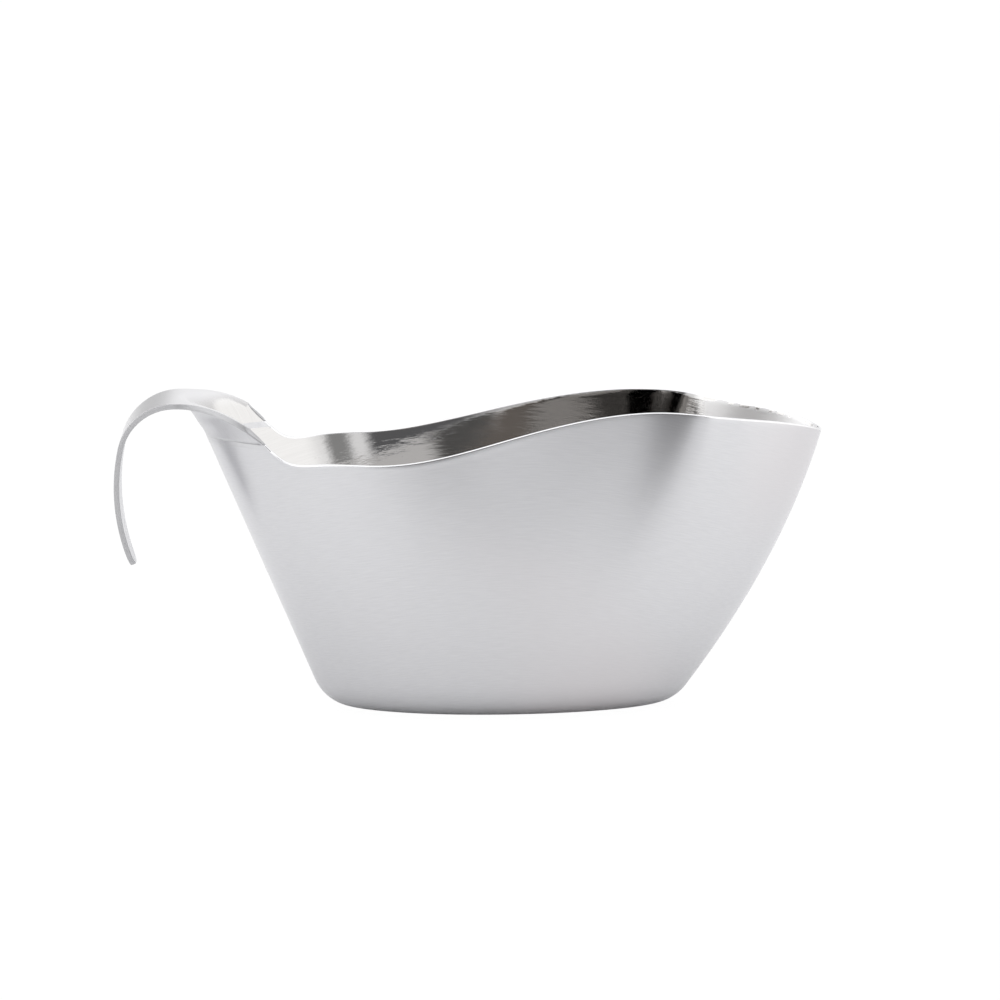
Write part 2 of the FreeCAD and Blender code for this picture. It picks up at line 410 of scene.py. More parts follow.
@dataclass(frozen=True)
class StrapForm:
    """Form of the bent strap: its root on the back wall, the tight curl and the hanging end."""

    hull: Hull
    rim: RimLine
    gauge: float = 1.5
    reach: float = 3.2
    sag: float = 0.0107
    fall: float = 0.000205
    shoulder_radius: float = 16.8
    shoulder_sweep: float = 77.5
    grip_radius: float = 58.0
    grip_sweep: float = 34.5
    neck_half_width: float = 16.0
    tip_half_width: float = 5.4
    taper_power: float = 1.1
    tip_rounding: float = 4.0
    root_bend: float = 4.2
    root_half_width: float = 24.5
    root_spread: float = 0.72
    seam_lift: float = 4.0
    seam_width: float = 1.6
    feather_height: float = 5.0
    blank_overlap: float = 1.0
    least_bend: float = 0.1
    root_rows: int = 44
    shoulder_rows: int = 30
    grip_rows: int = 34
    tip_rows: int = 10
    trim_steps: int = 160
    first_way: float = 0.9

    @property
    def seam_low(self) -> float:
        """Level of the lower edge of the weld."""
        return self.rim.dip_z + self.seam_lift - self.seam_width / 2.0

    @property
    def seam_high(self) -> float:
        """Level of the upper edge of the weld."""
        return self.seam_low + self.seam_width

    @property
    def top_z(self) -> float:
        """Highest line of the strap."""
        return self.rim.strap_top_z

    @property
    def top_x(self) -> float:
        """Place of the highest line of the strap."""
        return self.hull.back_x(self.top_z) - self.reach

    def root_height(self, x: np.ndarray, y: np.ndarray) -> np.ndarray:
        """Height of the sheet from the wall through the root bend into the strap.

        Args:
            x: Places along the boat.
            y: Places across it.

        Returns:
            The heights.
        """
        behind = x - self.top_x
        strap = self.top_z - self.hull.gauge - self.sag * behind**2 - self.fall * behind**3
        drawn = self.hull.wall_height(x, y, 3.0 * self.top_z)
        bend = np.maximum(np.minimum(self.root_bend, (strap - self.seam_high) / 2.0), self.least_bend)
        blend = np.maximum(2.0 * bend - np.abs(drawn - strap), 0.0) / (2.0 * bend)
        return np.minimum(drawn, strap) - blend * blend * bend / 2.0

    def root_face(self, out: np.ndarray, share: np.ndarray, side: Side) -> np.ndarray:
        """Points of one face of the root.

        Args:
            out: Way from the wall (0) to the highest line of the strap (1).
            share: Place across, from the middle line (0) to the edge of the blank (1).
            side: Which face of the sheet.

        Returns:
            The points of that face.
        """
        level = self.seam_low - self.blank_overlap
        edge = self.hull.angle_at(np.array([self.root_half_width]), level, 0.0)[0]
        start = self.hull.wall(share * edge, np.full_like(share, level))
        x = start[..., 0] + (self.top_x - start[..., 0]) * out
        spread = np.sin(math.pi / 2.0 * np.minimum((1.0 - out) / self.root_spread, 1.0)) ** 2
        y = share * self.neck_half_width + (start[..., 1] - share * self.neck_half_width) * spread
        z = self.root_height(x, y)
        step = PLAN_STEP
        slope_x = (self.root_height(x + step, y) - self.root_height(x - step, y)) / (2.0 * step)
        slope_y = (self.root_height(x, y + step) - self.root_height(x, y - step)) / (2.0 * step)
        normal = unit(stack(-slope_x, -slope_y, np.ones_like(x)))
        if side is Side.INNER:
            return stack(x, y, z) + normal * self.hull.gauge
        extra = (self.gauge - self.hull.gauge) * smooth((z - self.seam_high) / self.feather_height)
        return stack(x, y, z) - normal * extra[..., None]

    def root_grid(self, side: Side, columns: int) -> np.ndarray:
        """Rows of points from the weld to the highest line, trimmed by the rim line at the sides.

        Args:
            side: Which face of the sheet.
            columns: Columns across half the strap.

        Returns:
            The rows.
        """
        table = np.linspace(0.0, 1.0, self.trim_steps + 1)

        def inside(share: np.ndarray) -> np.ndarray:
            """True where the face is still under the rim line."""
            points = self.root_face(table, share, side)
            return points[..., 2] < self.rim.height(points[..., 0])

        limit = halve(inside, np.zeros_like(table), np.ones_like(table))
        across = np.linspace(0.0, 1.0, columns + 1)

        def face(out: np.ndarray, place: np.ndarray) -> np.ndarray:
            """Points at a way out and a place across the trimmed sheet."""
            return self.root_face(out, place * np.interp(out, table, limit), side)

        first = halve(
            lambda out: face(out, across)[..., 2] < self.seam_high,
            np.zeros_like(across),
            np.full_like(across, self.first_way),
        )
        ways = first + (1.0 - first) * np.linspace(0.0, 1.0, self.root_rows + 1)[:, None]
        return face(ways, np.broadcast_to(across, ways.shape))

    def curl_rows(self) -> tuple:
        """Middle line of the top face beyond the highest line.

        Returns:
            Its points, its normals and the half widths there.
        """
        shoulder = math.radians(self.shoulder_sweep)
        grip = math.radians(self.grip_sweep)
        bent = shoulder * self.shoulder_radius
        length = bent + grip * self.grip_radius
        tip = length - self.tip_rounding
        run = list(np.linspace(0.0, bent, self.shoulder_rows + 1)[1:])
        run += list(np.linspace(bent, tip, self.grip_rows + 1)[1:])
        turn = np.linspace(math.pi / 2.0, 0.0, self.tip_rows + 1)[1:]
        run += list(length - self.tip_rounding * (1.0 - np.cos(turn)))
        run = np.array(run)
        first = np.minimum(run / self.shoulder_radius, shoulder)
        second = np.maximum(run - bent, 0.0) / self.grip_radius
        zeros = np.zeros_like(run)
        normal = stack(-np.sin(first + second), zeros, np.cos(first + second))
        knee = stack(-np.sin(first), zeros, np.cos(first))
        centre = np.array([self.top_x, 0.0, self.top_z - self.shoulder_radius])
        top = centre + knee * (self.shoulder_radius - self.grip_radius) + normal * self.grip_radius
        left = np.clip(1.0 - run / length, 0.0, 1.0)
        half = self.tip_half_width + (self.neck_half_width - self.tip_half_width) * left**self.taper_power
        from_end = np.minimum(length - run, self.tip_rounding)
        r = self.tip_rounding
        half -= r - np.sqrt(np.maximum(r**2 - (r - from_end) ** 2, 0.0))
        return top, normal, half

    def face_grid(self, side: Side, columns: int) -> np.ndarray:
        """Rows of points of one whole face.

        Args:
            side: Which face of the sheet.
            columns: Columns across half the strap.

        Returns:
            The rows, from the weld to the end of the strap.
        """
        root = self.root_grid(side, columns)
        top, normal, half = self.curl_rows()
        across = np.linspace(0.0, 1.0, columns + 1)
        points = np.repeat(top[:, None, :], columns + 1, axis=1)
        if side is Side.OUTER:
            points = points - normal[:, None, :] * self.gauge
        points[..., 1] = half[:, None] * across
        return np.concatenate([root, points])


def rounded_edge(outer: np.ndarray, inner: np.ndarray, radius: np.ndarray, steps: int) -> np.ndarray:
    """Points round a cut edge of the sheet, from its outer face to its inner face.

    Args:
        outer: Corner line on the outer face, from the spout round to the end of the strap.
        inner: The same on the inner face.
        radius: Rounding of both corners at each point.
        steps: Steps in each rounding.

    Returns:
        For each point of the line, the points round the edge.
    """
    middle = (outer + inner) / 2.0
    tangent = unit(np.gradient(middle, axis=0))
    tangent[0] = tangent[-1] = 0.0
    tangent[0, 1] = 1.0
    tangent[-1, 1] = -1.0
    through = inner - outer
    thick = np.linalg.norm(through, axis=-1)
    through = through / thick[:, None]
    out = unit(np.cross(tangent, through))
    r = np.minimum(radius, LARGEST_ROUNDING * thick)[:, None]
    rows = []
    for turn in np.linspace(0.0, math.pi / 2.0, steps + 1):
        rows.append(outer + (through - out) * r + (out * math.sin(turn) - through * math.cos(turn)) * r)
    rows.append((outer + inner) / 2.0 + out * (thick[:, None] - 2.0 * r) * EDGE_SWELL)
    for turn in np.linspace(0.0, math.pi / 2.0, steps + 1):
        rows.append(inner - (through + out) * r + (out * math.cos(turn) + through * math.sin(turn)) * r)
    return np.stack(rows, axis=1)


@dataclass
class BoatForm:
    """All faces of the boat's right half as grids of points that fit together."""

    hull: Hull = field(default_factory=Hull)
    columns: int = 24
    rim_columns: int = 96
    weld_rows: int = 6
    edge_steps: int = 4
    rim_rounding: float = 0.46
    strap_rounding: float = 0.22
    weld_crown: float = 0.012
    rounding_run: float = 14.0
    bend_rows: int = 14
    wall_rows: int = 46
    base_rows: int = 8
    base_middle_share: float = 0.5
    low_level: float = 30.0
    high_level: float = 97.0

    def __post_init__(self) -> None:
        """Work out the faces and the edge that runs round them."""
        self.rim = RimLine(self.hull)
        self.strap = StrapForm(self.hull, self.rim)
        self.faces = {side: self.side_grids(side) for side in Side}
        self.fit_edge()

    def depth(self, side: Side) -> float:
        """How far a face of the bowl lies inside the outer face."""
        return self.hull.gauge if side is Side.INNER else 0.0

    def corner_angle(self, z: float, side: Side) -> float:
        """Angle at which the rim line crosses a level behind.

        Args:
            z: The level.
            side: Which face of the sheet.

        Returns:
            The angle.
        """
        depth = self.depth(side)

        def behind(angle: np.ndarray) -> np.ndarray:
            """True where the rim is above the level."""
            return self.rim.height(self.hull.inset(angle, np.full_like(angle, z), depth)[..., 0]) > z

        return float(halve(behind, np.array([0.0]), np.array([math.pi / 2.0]))[0])

    def side_grids(self, side: Side) -> dict:
        """Grids of one face.

        Args:
            side: Which face of the sheet.

        Returns:
            The grids of the strap, the weld and the bowl, by name.
        """
        depth = self.depth(side)
        strap = self.strap.face_grid(side, self.columns)
        high, low = self.strap.seam_high, self.strap.seam_low
        angles = self.hull.angle_at(strap[0, :, 1], high, depth)
        angles[0] = 0.0
        top_corner = angles[-1]
        weld = []
        for z in np.linspace(low, high, self.weld_rows + 1):
            shift = self.corner_angle(z, side) / top_corner if z < high else 1.0
            crown = self.weld_crown * math.sin(math.pi * (z - low) / (high - low)) ** 2
            level = depth - crown if side is Side.OUTER else depth
            weld.append(self.hull.inset(angles * shift, np.full_like(angles, z), level))
        seam = angles * self.corner_angle(low, side) / top_corner
        rim = np.linspace(seam[-1], math.pi, self.rim_columns + 1)[1:]
        bowl = self.bowl_grid(np.concatenate([seam, rim]), depth)
        return {"strap": strap, "weld": np.array(weld), "bowl": bowl}

    def bowl_grid(self, angles: np.ndarray, depth: float) -> dict:
        """Rows of one face of the bowl, from the middle of its base up to the rim and the weld.

        Args:
            angles: Angles of the columns.
            depth: Depth of the face inside the outer one.

        Returns:
            The points and their angles, by name.
        """

        def under(z: np.ndarray) -> np.ndarray:
            """True below the rim line."""
            return z < self.rim.height(self.hull.inset(angles, z, depth)[..., 0])

        low, high = np.full_like(angles, self.low_level), np.full_like(angles, self.high_level)
        top = halve(under, low, high)
        top[: self.columns + 1] = self.strap.seam_low
        bend = self.hull.bend(angles, depth, self.bend_rows)
        start = bend[-1, :, 2]
        shares = np.linspace(0.0, 1.0, self.wall_rows + 1)[1:, None]
        heights = start + (top - start) * shares
        wall = self.hull.inset(np.broadcast_to(angles, heights.shape), heights, depth)
        foot = bend[0]
        middle = foot.copy()
        from_middle = foot[:, 0] - self.hull.foot_middle_x
        middle[:, 0] = self.hull.foot_middle_x + from_middle * self.base_middle_share
        middle[:, 1] = 0.0
        flat_shares = np.linspace(0.0, 1.0, self.base_rows + 1)[:-1]
        flat = [middle + (foot - middle) * share for share in flat_shares]
        return {"points": np.concatenate([np.array(flat), bend, wall]), "angles": angles}

    def fit_edge(self) -> None:
        """Round the edge from the spout along the rim, the weld and the strap, and fit the faces to it."""
        lines = {}
        for side, grids in self.faces.items():
            rim = grids["bowl"]["points"][-1, self.columns :][::-1]
            strap = grids["strap"]
            end = strap[-1, ::-1]
            lines[side] = np.concatenate([rim, grids["weld"][1:, -1], strap[1:, -1], end[1:]])
        count_rim = self.rim_columns + 1
        count_weld = self.weld_rows
        count_strap = len(self.faces[Side.OUTER]["strap"]) - 1
        along = run_length(lines[Side.OUTER], 0)
        start = along[count_rim + count_weld - 1]
        share = smooth((along - start) / self.rounding_run)
        radius = self.rim_rounding + (self.strap_rounding - self.rim_rounding) * share
        edge = rounded_edge(lines[Side.OUTER], lines[Side.INNER], radius, self.edge_steps)
        edge[0, :, 1] = 0.0
        edge[-1, :, 1] = 0.0
        self.rim_edge = edge[:count_rim][::-1]
        self.weld_edge = edge[count_rim - 1 : count_rim + count_weld]
        strap_start = count_rim + count_weld - 1
        self.strap_edge = edge[strap_start:]
        self.strap_edge_share = share[strap_start:]
        for side, place in ((Side.OUTER, 0), (Side.INNER, -1)):
            grids = self.faces[side]
            grids["bowl"]["points"][-1, self.columns :] = self.rim_edge[:, place]
            grids["weld"][:, -1] = self.weld_edge[:, place]
            strap = grids["strap"]
            across = np.linspace(0.0, 1.0, self.columns + 1)
            for row in range(count_strap + 1):
                target = self.strap_edge[row, place]
                if row <= self.strap.root_rows:
                    strap[row] += (target - strap[row, -1]) * (across**3)[:, None]
                else:
                    strap[row, :, 1] *= target[1] / strap[row, -1, 1]
                    strap[row] += target - strap[row, -1]
            strap[-1] = self.strap_edge[count_strap:, place][::-1]
        LOG.info("edge line of %d points, %.0f mm on each half", len(along), along[-1])


# ---------------------------------------------------------------------------------------------------
# Meshes
# ---------------------------------------------------------------------------------------------------


@dataclass
class Patch:
    """A grid of points of the right half, with its place in the brushing and its finish."""

    points: np.ndarray
    grain: np.ndarray
    zone: Zone
    wear_and_sheen: np.ndarray


class HalfMesh:
    """Collects patches of the right half and makes one closed mesh of them and their mirror images."""

    merge_distance = 2e-6
    sharp_turn = math.radians(70.0)

    def __init__(self, name: str) -> None:
        """Start an empty mesh with a name."""
        self.name = name
        self.patches: list[Patch] = []

    def add(
        self,
        points: np.ndarray,
        zone: Zone,
        grain: np.ndarray | None = None,
        wear_and_sheen: np.ndarray | None = None,
    ) -> None:
        """Add a patch.

        Args:
            points: Its grid of points.
            zone: Its finish.
            grain: Its place in the brushing; without it the brushing runs along its columns.
            wear_and_sheen: How far it is blended towards its finish's second grey and roughness, which are
                wear on a cut edge and satin with a painted sheen on the polished inside; without it not at
                all.
        """
        if grain is None:
            grain = np.stack([run_length(points, 1), run_length(points, 0)], axis=-1)
        if wear_and_sheen is None:
            wear_and_sheen = np.zeros(points.shape[:2])
        self.patches.append(Patch(points, grain, zone, wear_and_sheen))

    def build(self, materials: list[bpy.types.Material]) -> bpy.types.Object:
        """Write the mesh and its object.

        Args:
            materials: The finishes in the order of the zones.

        Returns:
            The new object, linked to the scene.
        """
        points, grains, faces, zones, wear_and_sheen = [], [], [], [], []
        start = 0
        for patch in self.patches:
            rows, columns = patch.points.shape[:2]
            index = np.arange(rows * columns).reshape(rows, columns)
            corners = [index[:-1, :-1], index[:-1, 1:], index[1:, 1:], index[1:, :-1]]
            quads = np.stack(corners, axis=-1).reshape(-1, 4)
            for mirrored in (False, True):
                place = patch.points.reshape(-1, 3).copy()
                grain = patch.grain.reshape(-1, 2).copy()
                if mirrored:
                    place[:, 1] *= -1.0
                    grain[:, 0] *= -1.0
                points.append(place)
                grains.append(grain)
                faces.append((quads[:, ::-1] if mirrored else quads) + start)
                zones.append(np.full(len(quads), patch.zone.value))
                wear_and_sheen.append(patch.wear_and_sheen.reshape(-1))
                start += len(place)
        points, grains, faces, zones, wear_and_sheen = map(np.concatenate, (points, grains, faces, zones, wear_and_sheen))
        mesh = bpy.data.meshes.new(self.name)
        mesh.from_pydata((points * MM).tolist(), [], faces.tolist())
        layer = mesh.uv_layers.new(name="grain")
        corners = (grains[faces.reshape(-1)] * MM * UV_PER_METRE).astype(np.float32)
        layer.data.foreach_set("uv", corners.reshape(-1))
        mesh.polygons.foreach_set("material_index", zones.astype(np.int32))
        mesh.polygons.foreach_set("use_smooth", np.ones(len(faces), bool))
        attribute = mesh.attributes.new("wear_and_sheen", "FLOAT", "POINT")
        attribute.data.foreach_set("value", wear_and_sheen.astype(np.float32))
        self.weld_together(mesh)
        for material in materials:
            mesh.materials.append(material)
        piece = bpy.data.objects.new(self.name, mesh)
        bpy.context.scene.collection.objects.link(piece)
        return piece

    def weld_together(self, mesh: bpy.types.Mesh) -> None:
        """Join the patches where they meet and turn all faces outward.

        Args:
            mesh: The mesh, changed in place.
        """
        work = bmesh.new()
        work.from_mesh(mesh)
        bmesh.ops.remove_doubles(work, verts=work.verts, dist=self.merge_distance)
        bmesh.ops.dissolve_degenerate(work, edges=work.edges, dist=self.merge_distance / 4.0)
        bmesh.ops.recalc_face_normals(work, faces=work.faces)
        for edge in work.edges:
            if edge.is_manifold and edge.calc_face_angle() > self.sharp_turn:
                edge.smooth = False
        open_edges = sum(1 for edge in work.edges if not edge.is_manifold)
        if open_edges:
            LOG.warning("%s has %d edges that aren't closed", self.name, open_edges)
        work.to_mesh(mesh)
        work.free()


# ---------------------------------------------------------------------------------------------------
# Finishes
# ---------------------------------------------------------------------------------------------------


class Tree:
    """Adds nodes to a shader tree and links them."""

    def __init__(self, tree: bpy.types.NodeTree) -> None:
        """Work on an empty tree."""
        self.tree = tree
        tree.nodes.clear()

    def add(self, kind: str, **settings: object) -> bpy.types.Node:
        """Add a node.

        Args:
            kind: Its type, without the leading ShaderNode.
            settings: Values of its own properties.

        Returns:
            The node.
        """
        node = self.tree.nodes.new("ShaderNode" + kind)
        for name, value in settings.items():
            setattr(node, name, value)
        return node

    def feed(self, socket: bpy.types.NodeSocket, value: object) -> None:
        """Link a socket to another one, or set its value.

        Args:
            socket: The socket to feed.
            value: Another socket, or a value.
        """
        if isinstance(value, bpy.types.NodeSocket):
            self.tree.links.new(value, socket)
        else:
            socket.default_value = value

    def math(self, operation: str, *values: object) -> bpy.types.NodeSocket:
        """Output of a math node.

        Args:
            operation: Its operation.
            values: Sockets or numbers for its inputs.

        Returns:
            The output.
        """
        node = self.add("Math", operation=operation)
        for socket, value in zip(node.inputs, values):
            self.feed(socket, value)
        return node.outputs[0]

    def noise(
        self, vector: object, scale: object, detail: float = 2.0, roughness: float = 0.5
    ) -> bpy.types.NodeSocket:
        """Output of a noise texture.

        Args:
            vector: Where to read it.
            scale: Its scale.
            detail: Its octaves.
            roughness: Strength of the finer octaves.

        Returns:
            The output.
        """
        node = self.add("TexNoise", noise_dimensions="3D")
        self.feed(node.inputs["Vector"], vector)
        self.feed(node.inputs["Scale"], scale)
        node.inputs["Detail"].default_value = detail
        node.inputs["Roughness"].default_value = roughness
        return node.outputs["Fac"]

    def stretched(self, vector: object, x: float, y: float, z: float) -> bpy.types.NodeSocket:
        """Vector with each part scaled.

        Args:
            vector: The vector.
            x: Scale of its first part.
            y: Scale of its second part.
            z: Scale of its third part.

        Returns:
            The output.
        """
        node = self.add("VectorMath", operation="MULTIPLY")
        self.feed(node.inputs[0], vector)
        node.inputs[1].default_value = (x, y, z)
        return node.outputs[0]

    def spread(
        self, value: object, low: object, high: object, new_low: object, new_high: object
    ) -> bpy.types.NodeSocket:
        """Map a range of values smoothly onto another one.

        Args:
            value: The value to map.
            low: Start of its range.
            high: End of its range.
            new_low: Result at the start.
            new_high: Result at the end.

        Returns:
            The output.
        """
        node = self.add("MapRange", interpolation_type="SMOOTHSTEP")
        names = ("Value", "From Min", "From Max", "To Min", "To Max")
        for name, given in zip(names, (value, low, high, new_low, new_high)):
            self.feed(node.inputs[name], given)
        return node.outputs["Result"]

    def scaled(self, value: object, factor: object) -> bpy.types.NodeSocket:
        """Product of two sockets or numbers."""
        return self.math("MULTIPLY", value, factor)

    def blend(self, first: object, share: float, second: object) -> bpy.types.NodeSocket:
        """Sum of two values, the first by its share and the second by the rest."""
        return self.math("ADD", self.scaled(first, share), self.scaled(second, 1.0 - share))

    def mix(self, share: object, first: object, second: object) -> bpy.types.NodeSocket:
        """Mix two colours.

        Args:
            share: Share of the second colour.
            first: The first colour.
            second: The second colour.

        Returns:
            The mixed colour.
        """
        node = self.add("Mix", data_type="RGBA")
        self.feed(node.inputs[0], share)
        self.feed(node.inputs[6], first)
        self.feed(node.inputs[7], second)
        return node.outputs[2]

    def group(self, name: str, **values: object) -> bpy.types.Node:
        """Place a node group.

        Args:
            name: Name of the group.
            values: Values or sockets for its inputs.

        Returns:
            The node.
        """
        node = self.add("Group", node_tree=bpy.data.node_groups[name])
        for key, value in values.items():
            self.feed(node.inputs[key.replace("_", " ")], value)
        return node


def new_group(name: str, inputs: dict, outputs: tuple) -> tuple:
    """Start a shader node group.

    Args:
        name: Name of the group.
        inputs: Starting value of each input; None makes a vector input.
        outputs: Names of the outputs, all plain values.

    Returns:
        The tree, its input node and its output node.
    """
    group = bpy.data.node_groups.new(name, "ShaderNodeTree")
    tree = Tree(group)
    for key, value in inputs.items():
        kind = "NodeSocketVector" if value is None else "NodeSocketFloat"
        socket = group.interface.new_socket(name=key, in_out="INPUT", socket_type=kind)
        if value is not None:
            socket.default_value = value
    for key in outputs:
        group.interface.new_socket(name=key, in_out="OUTPUT", socket_type="NodeSocketFloat")
    return tree, group.nodes.new("NodeGroupInput"), group.nodes.new("NodeGroupOutput")


def make_groups() -> None:
    """Make the node groups that the finishes share."""
    inputs = {"Vector": None, "Fine": 420.0, "Coarse": 90.0}
    tree, given, result = new_group("brushed lines", inputs, ("Lines", "Bands", "Height"))
    fine_way = tree.stretched(given.outputs["Vector"], 0.018, 1.0, 1.0)
    coarse_way = tree.stretched(given.outputs["Vector"], 0.06, 1.0, 1.0)
    fine = tree.noise(fine_way, given.outputs["Fine"], 4.0, 0.7)
    coarse = tree.noise(coarse_way, given.outputs["Coarse"], 2.0, 0.6)
    tree.feed(result.inputs["Lines"], fine)
    tree.feed(result.inputs["Bands"], coarse)
    tree.feed(result.inputs["Height"], tree.blend(fine, 0.75, coarse))

    inputs = {"Vector": None, "Size": 14.0, "Speckle": 900.0}
    tree, given, result = new_group("mottle", inputs, ("Cloud", "Tint", "Speck"))
    vector, size = given.outputs["Vector"], given.outputs["Size"]
    moved = tree.add("VectorMath", operation="ADD")
    tree.feed(moved.inputs[0], vector)
    moved.inputs[1].default_value = (3.7, 1.9, 5.3)
    tree.feed(result.inputs["Cloud"], tree.noise(vector, size, 3.0, 0.55))
    tree.feed(result.inputs["Tint"], tree.noise(moved.outputs[0], size, 1.0, 0.4))
    tree.feed(result.inputs["Speck"], tree.noise(vector, given.outputs["Speckle"], 2.0, 0.6))

    inputs = {"Vector": None, "Grain": 90.0, "Waves": 12.0}
    tree, given, result = new_group("polished peel", inputs, ("Height",))
    drawn = tree.stretched(given.outputs["Vector"], 0.28, 1.0, 1.0)
    grain = tree.noise(drawn, given.outputs["Grain"], 3.0, 0.55)
    waves = tree.noise(given.outputs["Vector"], given.outputs["Waves"], 1.0, 0.4)
    tree.feed(result.inputs["Height"], tree.blend(grain, 0.55, waves))

    # Mask of the second finish, read from the mesh: wear along the strap's cut edge, and on the polished
    # inside satin with a paler painted sheen.
    inputs = {"Vector": None, "Ragged": 60.0, "Reach": 0.15}
    tree, given, result = new_group("sheen and wear mask", inputs, ("SheenAndWear",))
    near = tree.add("Attribute", attribute_name="wear_and_sheen", attribute_type="GEOMETRY")
    ragged = tree.math("SUBTRACT", tree.noise(given.outputs["Vector"], given.outputs["Ragged"], 2.0), 0.5)
    reached = tree.math("ADD", near.outputs["Fac"], tree.scaled(ragged, given.outputs["Reach"]))
    tree.feed(result.inputs["SheenAndWear"], tree.spread(reached, 0.25, 0.9, 0.0, 1.0))


@dataclass(frozen=True)
class SteelFinish:
    """A finish of the steel: its greys, its gloss, the marks of the tool that made it and a second grey and
    gloss blended in by a mask, which on the polished inside is satin with a painted sheen.
    """

    name: str
    dark: tuple
    light: tuple
    tint: tuple
    gloss: tuple
    lines: tuple
    bump: float
    anisotropy: float
    peel: float = 0.0
    # Second grey, blended in by the mask: wear on a cut edge, and a much paler painted sheen on the polished
    # inside.
    wear_and_sheen_grey: tuple = (0.8, 0.8, 0.81, 1.0)
    worn_roughness: float = 0.2
    speck: float = 0.05
    relief: float = 0.0001
    line_share: float = 0.6
    line_range: tuple = (0.32, 0.68)
    tint_range: tuple = (0.45, 0.75)
    tint_share: float = 0.8
    cloud_strength: float = 1.2
    streak_strength: float = 1.5
    brush_turn: float = 0.25
    wear_and_sheen_share: float = 0.7
    least_roughness: float = 0.02
    most_roughness: float = 0.9

    def grey(
        self, tree: Tree, lined: bpy.types.NodeSocket, mottle: bpy.types.Node, wear_and_sheen: bpy.types.NodeSocket
    ) -> bpy.types.NodeSocket:
        """Grey of the steel.

        Args:
            tree: Tree of the material.
            lined: The brushed lines.
            mottle: The group with the clouds.
            wear_and_sheen: The share of wear, and on the polished inside the share of satin with a painted
                sheen.

        Returns:
            The colour.
        """
        grey = tree.mix(tree.spread(lined, *self.line_range, 0.0, 1.0), self.dark, self.light)
        tinted = tree.spread(mottle.outputs["Tint"], *self.tint_range, 0.0, self.tint_share)
        grey = tree.mix(tinted, grey, self.tint)
        return tree.mix(tree.scaled(wear_and_sheen, self.wear_and_sheen_share), grey, self.wear_and_sheen_grey)

    def roughness(
        self, tree: Tree, lined: bpy.types.NodeSocket, mottle: bpy.types.Node, wear_and_sheen: bpy.types.NodeSocket
    ) -> bpy.types.NodeSocket:
        """Roughness of the steel.

        Args:
            tree: Tree of the material.
            lined: The brushed lines.
            mottle: The group with the clouds and specks.
            wear_and_sheen: The share of wear, and on the polished inside the share of satin.

        Returns:
            The roughness.
        """
        low, high = self.gloss
        rough: object = (low + high) / 2.0
        marks = (
            (mottle.outputs["Cloud"], (high - low) * self.cloud_strength),
            (lined, (high - low) * self.streak_strength),
            (mottle.outputs["Speck"], self.speck),
        )
        for mark, strength in marks:
            rough = tree.math("ADD", rough, tree.scaled(tree.math("SUBTRACT", mark, 0.5), strength))
        eased = tree.scaled(tree.math("SUBTRACT", self.worn_roughness, rough), wear_and_sheen)
        rough = tree.math("ADD", rough, eased)
        rough = tree.math("MAXIMUM", rough, self.least_roughness)
        return tree.math("MINIMUM", rough, self.most_roughness)

    def material(self) -> bpy.types.Material:
        """Make the material of this finish.

        Returns:
            The material.
        """
        material = bpy.data.materials.new(self.name)
        material.use_nodes = True
        tree = Tree(material.node_tree)
        grain = tree.add("UVMap", uv_map="grain").outputs["UV"]
        place = tree.add("TexCoord").outputs["Object"]
        lines = tree.group("brushed lines", Vector=grain, Fine=self.lines[0], Coarse=self.lines[1])
        mottle = tree.group("mottle", Vector=place)
        wear_and_sheen = tree.group("sheen and wear mask", Vector=place).outputs["SheenAndWear"]
        lined = tree.blend(lines.outputs["Lines"], self.line_share, lines.outputs["Bands"])
        grey = self.grey(tree, lined, mottle, wear_and_sheen)
        rough = self.roughness(tree, lined, mottle, wear_and_sheen)
        peel = tree.group("polished peel", Vector=grain)
        height = tree.blend(peel.outputs["Height"], self.peel, lines.outputs["Height"])
        bump = tree.add("Bump")
        bump.inputs["Strength"].default_value = self.bump
        bump.inputs["Distance"].default_value = self.relief
        tree.feed(bump.inputs["Height"], height)

        shader = tree.add("BsdfPrincipled")
        shader.inputs["Metallic"].default_value = 1.0
        shader.inputs["Anisotropic"].default_value = self.anisotropy
        shader.inputs["Anisotropic Rotation"].default_value = self.brush_turn
        tree.feed(shader.inputs["Base Color"], grey)
        tree.feed(shader.inputs["Roughness"], rough)
        tree.feed(shader.inputs["Normal"], bump.outputs["Normal"])
        if self.anisotropy > 0.0:
            tangent = tree.add("Tangent", direction_type="UV_MAP", uv_map="grain")
            tree.feed(shader.inputs["Tangent"], tangent.outputs["Tangent"])
        output = tree.add("OutputMaterial")
        tree.feed(output.inputs["Surface"], shader.outputs["BSDF"])
        return material


SATIN = SteelFinish(
    "satin brushed steel",
    dark=(0.635, 0.635, 0.65, 1), light=(0.70, 0.70, 0.715, 1), tint=(0.69, 0.665, 0.675, 1),
    gloss=(0.29, 0.36), lines=(1100.0, 300.0), bump=0.12, anisotropy=0.4,
)
# Polished inside: its second grey, far paler than the steel, is a painted sheen that whitens the bowl's
# inside towards the spout and the strap's top. The rougher gloss there is real satin.
MIRROR = SteelFinish(
    "polished inside", dark=(0.64, 0.63, 0.62, 1), light=(0.68, 0.67, 0.66, 1), tint=(0.66, 0.65, 0.64, 1),
    gloss=(0.03, 0.08), lines=(260.0, 60.0), bump=0.5, anisotropy=0.0, peel=1.0,
    wear_and_sheen_grey=(0.92, 0.92, 0.93, 1), worn_roughness=0.40, speck=0.02,
)
